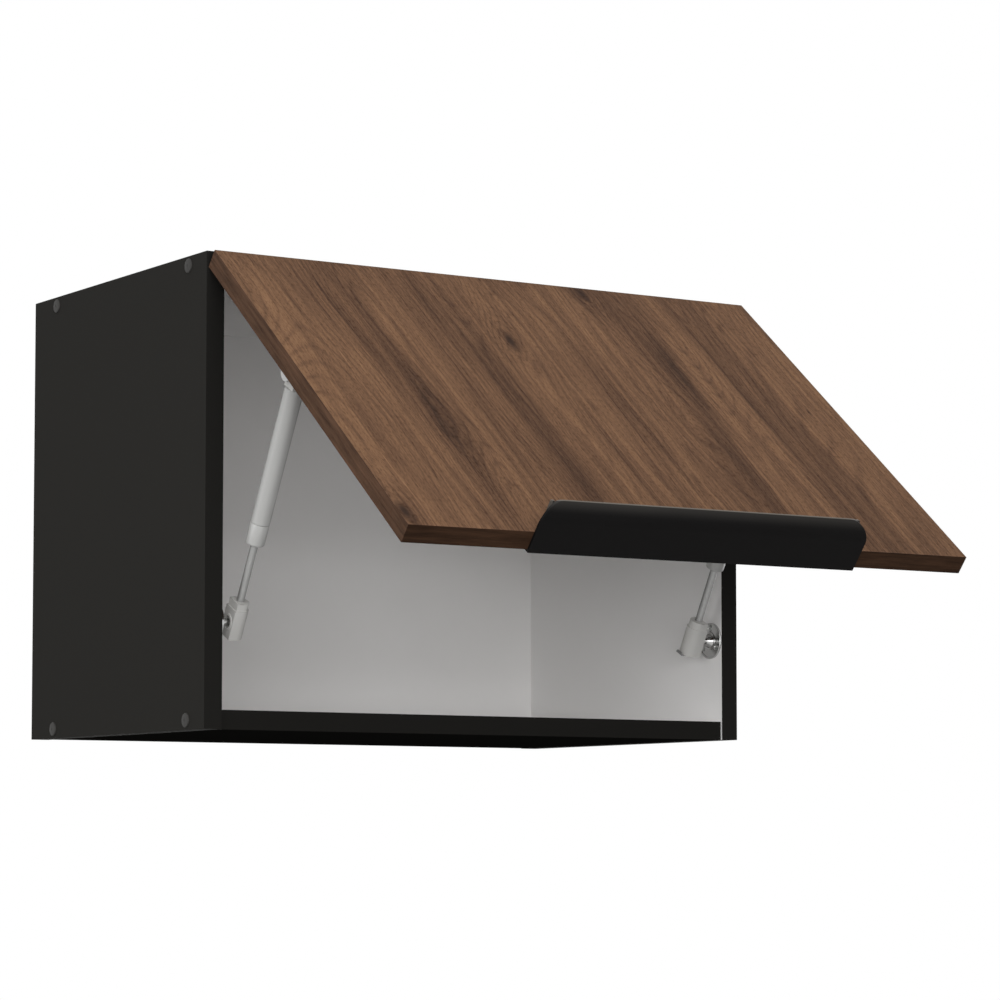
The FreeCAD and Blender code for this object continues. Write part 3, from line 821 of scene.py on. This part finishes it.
# %% Sockets, clips and collars in their places
lower_ball = Vector((216.0, -291.5, -237.0))
upper_ball = closed_to_open @ (Vector((216.0, -293.1, -77.3)) * mm) / mm
spring_line = upper_ball - lower_ball
lean = math.atan2(-spring_line.y, spring_line.z)
about_line = Matrix.Rotation(math.pi, 4, "Z")
upside_down = Matrix.Rotation(math.pi, 4, "X")
to_the_rear = Matrix.Rotation(math.pi / 2, 4, "Z")
for side, sign in sides:
    turn = Matrix.Rotation(lean, 4, "X")
    if sign < 0:
        turn = turn @ about_line
    low = Matrix.Translation(Vector((sign * lower_ball.x, lower_ball.y, lower_ball.z)) * mm) @ turn
    high = Matrix.Translation(Vector((sign * upper_ball.x, upper_ball.y, upper_ball.z)) * mm)
    high = high @ turn @ upside_down
    tab_turn = to_the_rear if sign < 0 else Matrix.Identity(4)
    for end, place, model, toe, clip_turn in (
        ("lower", low, lower_socket, lower_toe, tab_turn),
        ("upper", high, upper_socket, upper_toe, Matrix.Identity(4)),
    ):
        node = side + "_spring_" + end + "_socket"
        stand_for(copies(model, node + "_moulded", [place]), node)
        node = side + "_spring_" + end + "_clip"
        under_toe = place @ Matrix.Translation((0.0, 0.0, toe * mm)) @ clip_turn
        stand_for(copies(clip_model, node + "_strip", [under_toe]), node)
    node = side + "_spring_rod_guide"
    stand_for(copies(guide_model, node + "_collar", [low]), node)
for model in (lower_socket, upper_socket, clip_model, guide_model):
    discard(model)
print("springs lean", round(math.degrees(lean), 3), "degrees")

# %% [markdown]
# ## Side brackets
#
# Each lower ball stud stands on a pressed round plate. Pressing leaves a rolled rim and a raised seat in
# the middle, which catch the light as two bright rings. A flat round bar is the start: its face is inset
# and pushed in to leave the rim, then inset again and drawn out for the seat.

# %% Pressed plates
plate_radius = 15.0
plate_thickness = 2.0
plate_rim = 1.5
plate_sink = 0.6
seat_ring = 6.0
inner_face = 235.0
plate_model = bar("plate", plate_radius, 0.0, plate_thickness, corners=64)
pick(plate_model, "FACE", lambda at, normal: normal.z > square_on)
bpy.ops.mesh.inset(thickness=plate_rim * mm)
draw_out(0.0, 0.0, -plate_sink)
bpy.ops.mesh.inset(thickness=seat_ring * mm)
draw_out(0.0, 0.0, plate_sink)
done()
pick(plate_model, "EDGE", lambda at, run: at.z > plate_thickness - near)
bevel(0.3, 3)
done()
smooth(plate_model, chrome)
for side, sign in sides:
    place = facing(sign * inner_face, lower_ball.y, lower_ball.z, (-sign, 0.0, 0.0))
    node = side + "_lower_bracket"
    stand_for(copies(plate_model, node + "_plate", [place]), node)
discard(plate_model)

# %% [markdown]
# ## Screws
#
# Twenty-three countersunk wood screws hold the fittings. One is modelled: a short bar whose lower face is
# narrowed for the head and drawn down twice for shank and tip, and two crossed wedges cut the recess
# for the driver. The rest are copies, turned to the face that they are driven into.

# %% One screw
head_radius = 3.0
head_depth = 1.6
shank_radius = 1.6
shank_length = 7.8
tip_length = 1.6
recess_reach = 2.0
recess_half = 0.42
recess_depth = 1.4
screw_model = bar("screw", head_radius, -head_depth, 0.0, corners=32)
bottom_steps = ((shank_radius / head_radius, 0.0), (1.0, shank_length), (0.05, tip_length))
for share, depth in bottom_steps:
    lowest = min(vertex.co.z for vertex in screw_model.data.vertices) / mm
    pick(screw_model, "FACE", lambda at, normal: normal.z < -square_on and at.z < lowest + near)
    if depth:
        draw_out(0.0, 0.0, -depth)
    bpy.ops.transform.resize(value=(share, share, 1.0), center_override=(0.0, 0.0, 0.0))
    done()
pick(screw_model, "EDGE", lambda at, run: at.z > -near)
bevel(0.25, 2)
done()
for half_x, half_y in ((recess_reach, recess_half), (recess_half, recess_reach)):
    wedge = block("wedge", (-half_x, -half_y, -recess_depth), (half_x, half_y, 1.0))
    pick(wedge, "FACE", lambda at, normal: normal.z < -square_on)
    bpy.ops.transform.resize(value=(0.5, 0.5, 1.0), center_override=(0.0, 0.0, 0.0))
    done()
    combine(screw_model, wedge, "DIFFERENCE")
smooth(screw_model, zinc)
print("screw:", len(screw_model.data.polygons), "faces")

# %% Where the screws go
flap_rear = -309.5
to_rear = (0.0, 1.0, 0.0)
downwards = (0.0, 0.0, -1.0)
hinge_x = 175.0
cup_screw_z = 21.5
cup_screw_off = 23.5
bracket_x = 205.0
bracket_screw_rows = (-98.8, -86.8)
wing_y, wing_z, wing_off = -276.5, 28.0, 17.0
arm_y, arm_z = -275.0, 18.2
plate_screw_circle = 10.5
handle_screw_z = -317.8
handle_screw_columns = (-119.95, 0.0, 119.95)
bracket_base = 2.0
cup_flange = 1.2
handle_sheet = 1.8


def plate_places(sign):
    """Three screws in a ring on a pressed plate."""
    inwards = (-sign, 0.0, 0.0)
    face = sign * (inner_face - plate_thickness)
    places = []
    for step in range(3):
        angle = math.radians(90.0 + 120.0 * step)
        y = lower_ball.y + plate_screw_circle * math.cos(angle)
        z = lower_ball.z + plate_screw_circle * math.sin(angle)
        places.append(facing(face, y, z, inwards))
    return places


def on_flap(x, proud, z):
    """A place on the flap's rear, so far proud of it, carried to the open pose."""
    return closed_to_open @ facing(x, flap_rear + proud, z, to_rear)


print("screws on each plate:", len(plate_places(1)))

# %% All the screws
for side, sign in sides:
    hinge_at = sign * hinge_x
    rail_places = [facing(hinge_at + off, wing_y, wing_z, downwards) for off in (-wing_off, wing_off)]
    rail_places.append(facing(hinge_at, arm_y, arm_z, downwards))
    groups = (
        ("_lower_bracket_screws", plate_places(sign)),
        ("_hinge_plate_screws", rail_places),
        ("_upper_bracket_screws", [on_flap(sign * bracket_x, bracket_base, z) for z in bracket_screw_rows]),
        ("_hinge_cup_screws", [
            on_flap(hinge_at + off, cup_flange, cup_screw_z) for off in (-cup_screw_off, cup_screw_off)
        ]),
    )
    for name, places in groups:
        stand_for(copies(screw_model, side + name + "_cross", places), side + name)
handle_places = [on_flap(x, handle_sheet, handle_screw_z) for x in handle_screw_columns]
stand_for(copies(screw_model, "handle_screws_cross", handle_places), "handle_screws")
discard(screw_model)

# %% [markdown]
# ## Screw caps and buffers
#
# Eight caps hide the heads of the carcass screws and two soft buffers meet the cabinet when the flap
# shuts. Both are small turned pieces: a low bar with a rounded rim. The cap is pushed in a little at its
# middle, as moulded caps are where the sprue was.

# %% Caps
cap_radius = 5.6
cap_height = 1.1
flat_rim = 3.4
dimple_slope = 0.4
dimple_depth = 0.15
outer_face = 250.0
cap_columns = (-277.0, -42.0)
cap_rows = (-312.5, 37.5)
cap_model = bar("cap", cap_radius, 0.0, cap_height)
pick(cap_model, "EDGE", lambda at, run: at.z > cap_height - near)
bevel(0.7, 4)
done()
pick(cap_model, "FACE", lambda at, normal: normal.z > square_on and at.z > cap_height - near)
bpy.ops.mesh.inset(thickness=flat_rim * mm)
bpy.ops.mesh.inset(thickness=dimple_slope * mm)
draw_out(0.0, 0.0, -dimple_depth)
done()
smooth(cap_model, cap_moulding)
cap_places = [
    facing(sign * outer_face, y, z, (sign, 0.0, 0.0))
    for sign in (-1, 1) for y in cap_columns for z in cap_rows
]
stand_for(copies(cap_model, "screw_caps_moulded", cap_places), "screw_caps")
discard(cap_model)

# %% Buffers
buffer_radius = 4.0
buffer_height = 2.2
buffer_x = 242.5
buffer_z = -306.3
buffer_model = bar("buffer", buffer_radius, 0.0, buffer_height)
pick(buffer_model, "EDGE", lambda at, run: at.z > buffer_height - near)
bevel(1.4, 6)
done()
smooth(buffer_model, clear_buffer)
buffer_places = [on_flap(sign * buffer_x, 0.0, buffer_z) for sign in (-1, 1)]
stand_for(copies(buffer_model, "flap_buffers_domed", buffer_places), "flap_bumpers")
discard(buffer_model)

# %% [markdown]
# ## Floor, light and background
#
# The cabinet hangs on a wall, so the floor lies well below it and outside the view. Five broad soft lamps
# light it: the strongest in front, one to the left, one above, a weak one low in front that reaches under
# the open flap, and one behind for the views of the rear. The world is plain white to the camera, and to
# reflections in metal, but a dim even grey as a source of light.

# %% Floor
bpy.ops.object.select_all(action="DESELECT")
floor_level = -1.6
bpy.ops.mesh.primitive_plane_add(size=6.0, location=(0.0, 0.0, floor_level))
floor = bpy.context.object
floor.name = "floor"
bpy.ops.object.transform_apply(location=True, rotation=True, scale=True)
ground = Finish("pale_floor")
mottle = ground.noise(ground.place(), 6.0, 2.0, 0.5)
pale = ground.node("ShaderNodeBsdfDiffuse", inputs={
    "Color": ground.shade(mottle * 0.02 + 0.99, paint(232, 232, 230)),
})
dark = ground.node("ShaderNodeBsdfDiffuse", inputs={"Color": paint(70, 70, 70)})
either = ground.node("ShaderNodeMixShader", inputs={0: ground.in_view(), 1: dark, 2: pale})
ground.node("ShaderNodeOutputMaterial", inputs={0: either})
floor.data.materials.append(ground.made)
print("floor at z", floor_level)


# %% Lamps
def soft_lamp(name, place, target, width, height, power):
    """A broad area lamp that faces a point."""
    light = bpy.data.lights.new(name, "AREA")
    light.shape = "RECTANGLE"
    light.size = width
    light.size_y = height
    light.energy = power
    lamp = bpy.data.objects.new(name, light)
    lamp.location = place
    lamp.rotation_euler = (Vector(target) - Vector(place)).to_track_quat("-Z", "Y").to_euler()
    bpy.context.scene.collection.objects.link(lamp)
    print("lamp", name, power, "W")


cabinet_middle = (0.0, -0.25, -0.14)
soft_lamp("left", (-3.0, -0.6, 0.5), cabinet_middle, 2.5, 2.5, 37.0)
soft_lamp("front", (-1.5, -3.4, 0.05), (0.0, -0.25, 0.05), 3.0, 1.3, 74.0)
soft_lamp("low", (-0.3, -3.0, -1.2), cabinet_middle, 2.5, 0.7, 9.0)
soft_lamp("top", (0.0, -0.9, 3.0), cabinet_middle, 2.5, 2.5, 48.0)
soft_lamp("rear", (2.4, 2.2, 0.8), cabinet_middle, 2.5, 2.5, 45.0)

# %% World
room = Finish("white_room", bpy.data.worlds)
plain = (1.0, 1.0, 1.0, 1.0)
dim = room.node("ShaderNodeBackground", inputs={"Color": plain, "Strength": 0.2})
bright = room.node("ShaderNodeBackground", inputs={"Color": plain, "Strength": 1.0})
shown = room.node("ShaderNodeMixShader", inputs={0: room.in_view(), 1: dim, 2: bright})
room.node("ShaderNodeOutputWorld", inputs={0: shown})
bpy.context.scene.world = room.made
print("world: white to the camera, dim as light")
